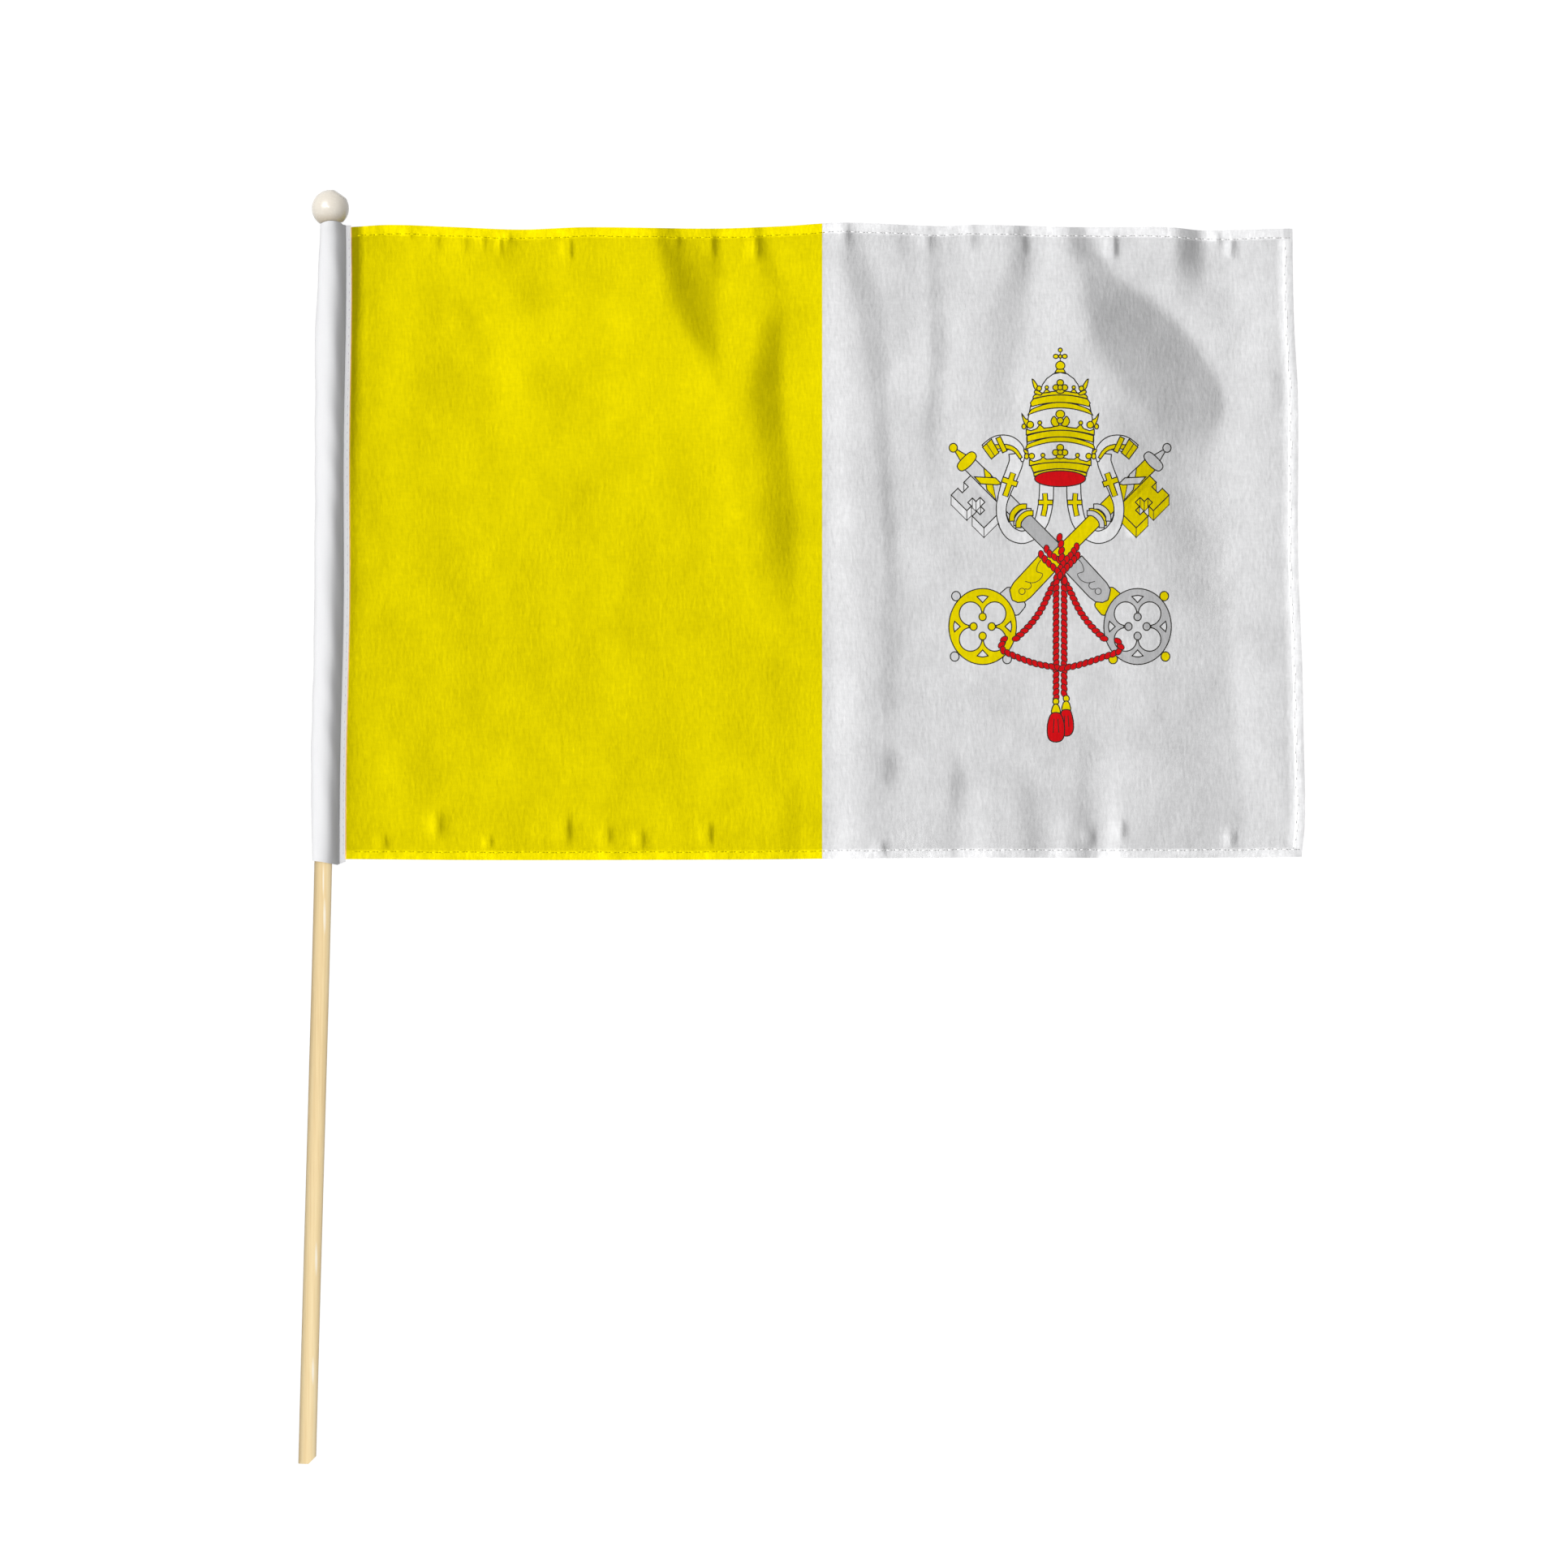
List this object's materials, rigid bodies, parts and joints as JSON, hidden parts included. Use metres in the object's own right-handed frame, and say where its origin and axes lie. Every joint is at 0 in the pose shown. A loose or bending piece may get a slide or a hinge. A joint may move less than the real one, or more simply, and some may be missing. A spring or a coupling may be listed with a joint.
{
  "type": "cloth hand flag with the wooden stick that it hangs from",
  "caption": "Hand flag lying face up: a hemmed cloth, half yellow and half white with an emblem, sewn by a sleeve round a wooden stick that ends in a ball.",
  "frame": {"origin": "middle of the bounding box, on the surface that the flag lies on", "axes": "+Z out of the flag's face, +Y along the stick towards its ball tip, +X from the stick to the free edge"},
  "size_m": [0.477, 0.6028, 0.0174],
  "materials": {
    "stick_wood": "plain sanded softwood dowel",
    "ball_lacquer": "glossy ivory lacquer on a turned wooden ball",
    "sleeve_cloth": "white plain-weave polyester",
    "printed_cloth": "printed plain-weave polyester, yellow and white, with a slight satin sheen"
  },
  "bodies": {
    "root": {"stick": "stick_wood", "ball_tip": "ball_lacquer", "hoist_sleeve": "sleeve_cloth", "flag_cloth": "printed_cloth"}
  },
  "joints": []
}
